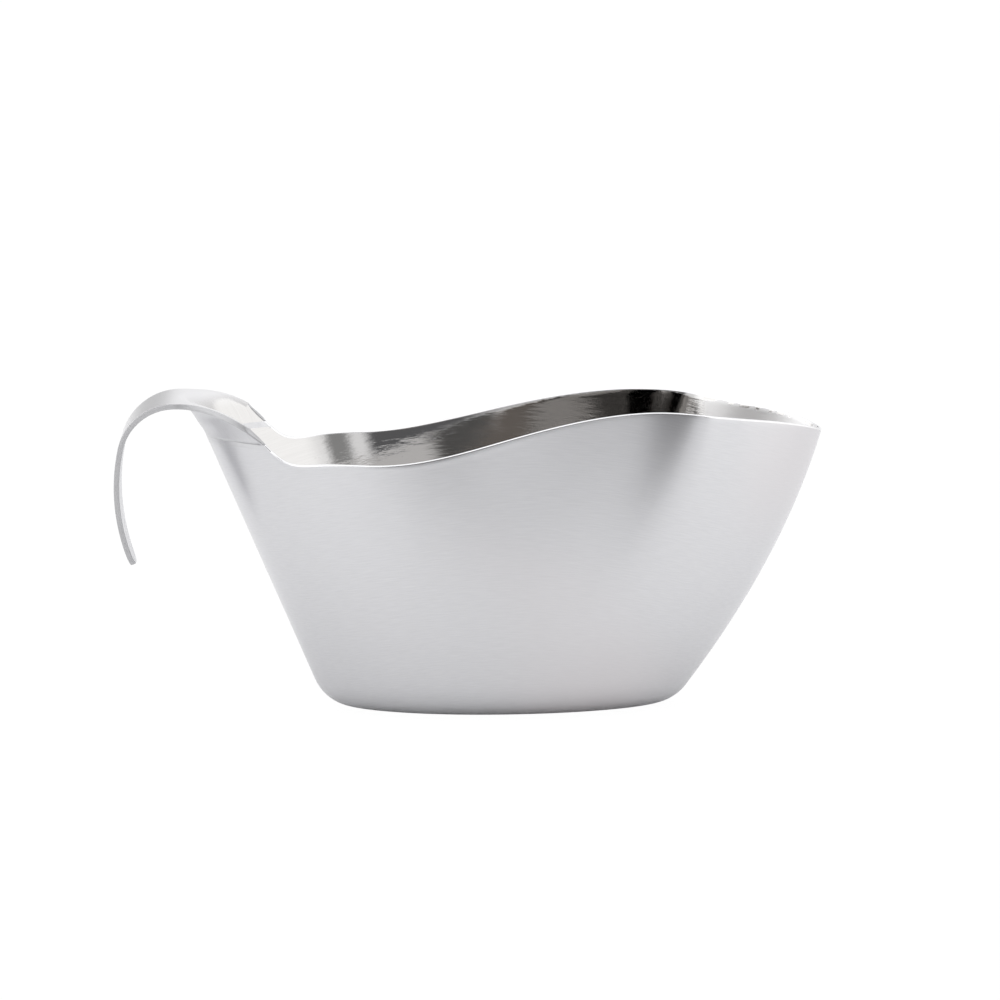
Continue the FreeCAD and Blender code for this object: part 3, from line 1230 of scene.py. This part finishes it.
# Rim, also used on the weld's edges: polished, so less rough. Its grey, paler than the rest of the steel, is
# a painted highlight along the rim.
RIM_WITH_PAINTED_HIGHLIGHT = SteelFinish(
    "polished rim with painted highlight", dark=(0.78, 0.78, 0.79, 1), light=(0.88, 0.88, 0.89, 1), tint=(0.84, 0.83, 0.83, 1),
    gloss=(0.12, 0.24), lines=(300.0, 60.0), bump=0.15, anisotropy=0.0,
    wear_and_sheen_grey=(0.5, 0.5, 0.51, 1), worn_roughness=0.42,
)
CUT_EDGE = SteelFinish(
    "ground cut edge", dark=(0.46, 0.46, 0.47, 1), light=(0.62, 0.62, 0.63, 1), tint=(0.54, 0.53, 0.53, 1),
    gloss=(0.4, 0.55), lines=(700.0, 200.0), bump=0.8, anisotropy=0.0,
    wear_and_sheen_grey=(0.52, 0.52, 0.53, 1), worn_roughness=0.5, speck=0.2,
)
GROUND_WELD = SteelFinish(
    "ground weld", dark=(0.62, 0.62, 0.635, 1), light=(0.69, 0.69, 0.70, 1), tint=(0.66, 0.63, 0.62, 1),
    gloss=(0.28, 0.40), lines=(900.0, 200.0), bump=0.25, anisotropy=0.3, speck=0.1,
)


# ---------------------------------------------------------------------------------------------------
# Pieces
# ---------------------------------------------------------------------------------------------------


@dataclass
class Piece:
    """A piece of the boat: its node in the frame, its slot and the boat's form."""

    form: BoatForm
    node: str
    slot: str
    materials: list

    def patches(self, mesh: HalfMesh) -> None:
        """Add the piece's patches to a mesh."""
        raise NotImplementedError

    def build(self) -> bpy.types.Object:
        """Make the piece, dress it and let it stand for its node.

        Returns:
            The piece.
        """
        mesh = HalfMesh(self.node + "_visual")
        self.patches(mesh)
        piece = mesh.build(self.materials)
        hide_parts(self.node)
        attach(piece, "root")
        LOG.info("%s: %d faces", piece.name, len(piece.data.polygons))
        return piece

    def cap(self, outer: np.ndarray, inner: np.ndarray, edge: np.ndarray) -> np.ndarray:
        """Flat grid between the two faces along a level cut.

        Args:
            outer: Line on the outer face.
            inner: Line on the inner face.
            edge: Points round the edge of the sheet at the end of the cut.

        Returns:
            The grid, ending in the rounded edge.
        """
        share = np.linspace(0.0, 1.0, edge.shape[0])[:, None, None]
        grid = outer[None] * (1.0 - share) + inner[None] * share
        grid[:, -1] = edge
        return grid


@dataclass
class Bowl(Piece):
    """Drawn bowl: satin outside, polished inside that turns satin with a painted sheen towards the spout, and
    a rounded rim whose paler grey is a painted highlight.
    """

    ring_run: float = 62.0
    satin_and_sheen_from: float = 50.0
    satin_and_sheen_run: float = 14.0

    def patches(self, mesh: HalfMesh) -> None:
        """Add the outside, the rim and the inside.

        Args:
            mesh: The mesh to add them to.
        """
        form = self.form
        count = form.columns
        ends = {}
        for side, zone in ((Side.OUTER, Zone.OUTSIDE), (Side.INNER, Zone.INSIDE)):
            grid = form.faces[side]["bowl"]
            points = grid["points"]
            run = run_length(points, 0)
            around = np.broadcast_to(grid["angles"] * self.ring_run, run.shape)
            wear_and_sheen = np.zeros_like(run)
            if side is Side.INNER:
                # Towards the spout the inside turns satin and takes a much paler grey, which is a painted
                # sheen.
                wear_and_sheen = smooth((points[..., 0] - self.satin_and_sheen_from) / self.satin_and_sheen_run)
            mesh.add(points, zone, np.stack([around, run], axis=-1), wear_and_sheen)
            ends[side] = points[-1]
        seam = self.cap(ends[Side.OUTER][: count + 1], ends[Side.INNER][: count + 1], form.rim_edge[0])
        mesh.add(seam, Zone.EDGE)
        mesh.add(form.rim_edge.transpose(1, 0, 2), Zone.EDGE)


@dataclass
class StrapHandle(Piece):
    """Bent strap handle: top polished next to the weld and then satin with a painted sheen, satin underside
    and a rough ground edge.
    """

    polish_before_sheen_run: float = 16.0

    def patches(self, mesh: HalfMesh) -> None:
        """Add both faces, the edge and the cut at the weld.

        Args:
            mesh: The mesh to add them to.
        """
        form = self.form
        ends = {}
        for side, zone in ((Side.OUTER, Zone.OUTSIDE), (Side.INNER, Zone.INSIDE)):
            points = form.faces[side]["strap"]
            run = run_length(points, 0)
            across = run_length(points, 1)
            # Past the polished run by the weld, the strap's top turns satin and takes a much paler grey,
            # which is a painted sheen.
            wear_and_sheen = smooth(run / self.polish_before_sheen_run) if side is Side.INNER else np.zeros_like(run)
            mesh.add(points, zone, np.stack([run, across], axis=-1), wear_and_sheen)
            ends[side] = points[0]
        mesh.add(self.cap(ends[Side.OUTER], ends[Side.INNER], form.strap_edge[0]), Zone.EDGE)
        edge = form.strap_edge.transpose(1, 0, 2)
        wear_and_sheen = np.broadcast_to(form.strap_edge_share, edge.shape[:2])
        mesh.add(edge, Zone.EDGE, wear_and_sheen=wear_and_sheen)


@dataclass
class SeamWeld(Piece):
    """Weld between the bowl's back edge and the root of the strap, ground nearly flush."""

    def patches(self, mesh: HalfMesh) -> None:
        """Add both faces, the two ends and the cuts above and below.

        Args:
            mesh: The mesh to add them to.
        """
        form = self.form
        faces = {side: form.faces[side]["weld"] for side in Side}
        mesh.add(faces[Side.OUTER], Zone.OUTSIDE)
        mesh.add(faces[Side.INNER], Zone.INSIDE)
        for row in (0, -1):
            mesh.add(self.cap(faces[Side.OUTER][row], faces[Side.INNER][row], form.weld_edge[row]), Zone.EDGE)
        mesh.add(form.weld_edge.transpose(1, 0, 2), Zone.EDGE)


# ---------------------------------------------------------------------------------------------------
# Studio
# ---------------------------------------------------------------------------------------------------


@dataclass(frozen=True)
class Card:
    """A soft-edged light or dark card far away; azimuth 0 is in front (-Y), positive towards the spout."""

    azimuth: float
    elevation: float
    half_width: float
    half_height: float
    softness: float
    value: tuple


@dataclass
class Studio:
    """Pale floor, soft surrounding light and the camera."""

    surround: tuple = (0.95, 0.95, 0.96)
    floor_grey: tuple = (0.87, 0.87, 0.87, 1)
    floor_glow: float = 0.02
    floor_whiteness: float = 0.96
    backdrop: float = 1.02
    sensor: float = 36.0
    nearest: float = 0.05
    farthest: float = 20.0
    distance: float = 1.0
    yaw: float = 3.5
    pitch: float = 9.507
    height: float = 0.226
    aside: float = -0.0019
    focal: float = 129.6
    floor_half: float = 3.0
    floor_front: float = 0.3
    cards: tuple = (
        Card(0, 85, 200, 30, 14, (1.35, 1.35, 1.36)),
        Card(-75, 5, 32, 45, 14, (1.5, 1.5, 1.5)),
        Card(80, 5, 30, 45, 14, (1.32, 1.32, 1.32)),
        Card(-2, -16, 8, 18, 14, (0.15, 0.15, 0.155)),
        Card(3, 24, 16, 20, 6, (0.13, 0.13, 0.135)),
        Card(24, 38, 12, 6, 5, (0.25, 0.25, 0.25)),
        Card(34, 12, 2, 12, 5, (0.32, 0.32, 0.32)),
        Card(-1, 20, 6, 5, 4, (0.36, 0.33, 0.31)),
        Card(-168, 11, 6, 8, 4, (0.15, 0.15, 0.15)),
    )

    def build(self) -> None:
        """Make the floor, the surroundings and the camera."""
        self.floor()
        self.world()
        self.camera()

    def floor(self) -> bpy.types.Object:
        """Plain pale floor that shows nearly white.

        Returns:
            The floor.
        """
        h, front = self.floor_half, self.floor_front
        mesh = bpy.data.meshes.new("floor")
        mesh.from_pydata([(-h, -front, 0), (h, -front, 0), (h, h, 0), (-h, h, 0)], [], [(0, 1, 2, 3)])
        floor = bpy.data.objects.new("floor", mesh)
        bpy.context.scene.collection.objects.link(floor)
        material = bpy.data.materials.new("pale floor")
        material.use_nodes = True
        tree = Tree(material.node_tree)
        shade = tree.add("BsdfDiffuse")
        shade.inputs["Color"].default_value = self.floor_grey
        glow = tree.add("Emission")
        glow.inputs["Strength"].default_value = self.floor_glow
        shown = tree.add("Emission")
        shown.inputs["Strength"].default_value = self.backdrop
        both = tree.add("AddShader")
        tree.feed(both.inputs[0], shade.outputs[0])
        tree.feed(both.inputs[1], glow.outputs[0])
        seen = tree.add("MixShader")
        to_camera = tree.add("LightPath").outputs["Is Camera Ray"]
        tree.feed(seen.inputs[0], tree.scaled(to_camera, self.floor_whiteness))
        tree.feed(seen.inputs[1], both.outputs[0])
        tree.feed(seen.inputs[2], shown.outputs[0])
        output = tree.add("OutputMaterial")
        tree.feed(output.inputs["Surface"], seen.outputs[0])
        mesh.materials.append(material)
        return floor

    def world(self) -> None:
        """Soft surroundings made of cards."""
        world = bpy.data.worlds.new("studio")
        bpy.context.scene.world = world
        world.use_nodes = True
        tree = Tree(world.node_tree)
        way = tree.add("SeparateXYZ")
        tree.feed(way.inputs[0], tree.add("TexCoord").outputs["Generated"])
        x, y, z = way.outputs
        elevation = tree.scaled(tree.math("ARCSINE", z), math.degrees(1.0))
        azimuth = tree.scaled(tree.math("ARCTAN2", x, tree.scaled(y, -1.0)), math.degrees(1.0))
        colour: object = (*self.surround, 1.0)
        for card in self.cards:
            off = tree.math("SUBTRACT", azimuth, card.azimuth)
            off = tree.math("ABSOLUTE", tree.math("WRAP", off, 180.0, -180.0))
            side = tree.spread(off, card.half_width, card.half_width + card.softness, 1.0, 0.0)
            rise = tree.math("ABSOLUTE", tree.math("SUBTRACT", elevation, card.elevation))
            level = tree.spread(rise, card.half_height, card.half_height + card.softness, 1.0, 0.0)
            colour = tree.mix(tree.scaled(side, level), colour, (*card.value, 1.0))
        light = tree.add("Background")
        tree.feed(light.inputs["Color"], colour)
        white = tree.add("Background")
        white.inputs["Color"].default_value = (self.backdrop, self.backdrop, self.backdrop, 1.0)
        seen = tree.add("MixShader")
        tree.feed(seen.inputs[0], tree.add("LightPath").outputs["Is Camera Ray"])
        tree.feed(seen.inputs[1], light.outputs[0])
        tree.feed(seen.inputs[2], white.outputs[0])
        output = tree.add("OutputWorld")
        tree.feed(output.inputs["Surface"], seen.outputs[0])

    def camera(self) -> bpy.types.Object:
        """Camera a metre away, a little above and to the left of square on.

        Returns:
            The camera.
        """
        data = bpy.data.cameras.new("camera")
        data.lens = self.focal
        data.sensor_width = self.sensor
        data.clip_start = self.nearest
        data.clip_end = self.farthest
        camera = bpy.data.objects.new("camera", data)
        bpy.context.scene.collection.objects.link(camera)
        yaw, pitch = math.radians(self.yaw), math.radians(self.pitch)
        camera.location = (
            self.aside * math.cos(yaw) - self.distance * math.sin(yaw),
            -self.aside * math.sin(yaw) - self.distance * math.cos(yaw),
            self.height,
        )
        level = math.cos(pitch)
        ahead = Vector((level * math.sin(yaw), level * math.cos(yaw), -math.sin(pitch)))
        camera.rotation_euler = ahead.to_track_quat("-Z", "Y").to_euler()
        bpy.context.scene.camera = camera
        return camera


def main() -> None:
    """Build the studio and every piece."""
    logging.basicConfig(level=logging.INFO, format="%(message)s")
    bpy.context.scene.view_settings.view_transform = "Standard"
    make_groups()
    satin, mirror, rim = SATIN.material(), MIRROR.material(), RIM_WITH_PAINTED_HIGHLIGHT.material()
    cut_edge, weld = CUT_EDGE.material(), GROUND_WELD.material()
    form = BoatForm()
    Bowl(form, "bowl", "brushed_steel", [satin, rim, mirror]).build()
    StrapHandle(form, "handle_strap", "brushed_steel", [satin, cut_edge, mirror]).build()
    SeamWeld(form, "seam_weld", "weld_metal", [weld, rim, weld]).build()
    Studio().build()


if __name__ == "__main__":
    main()
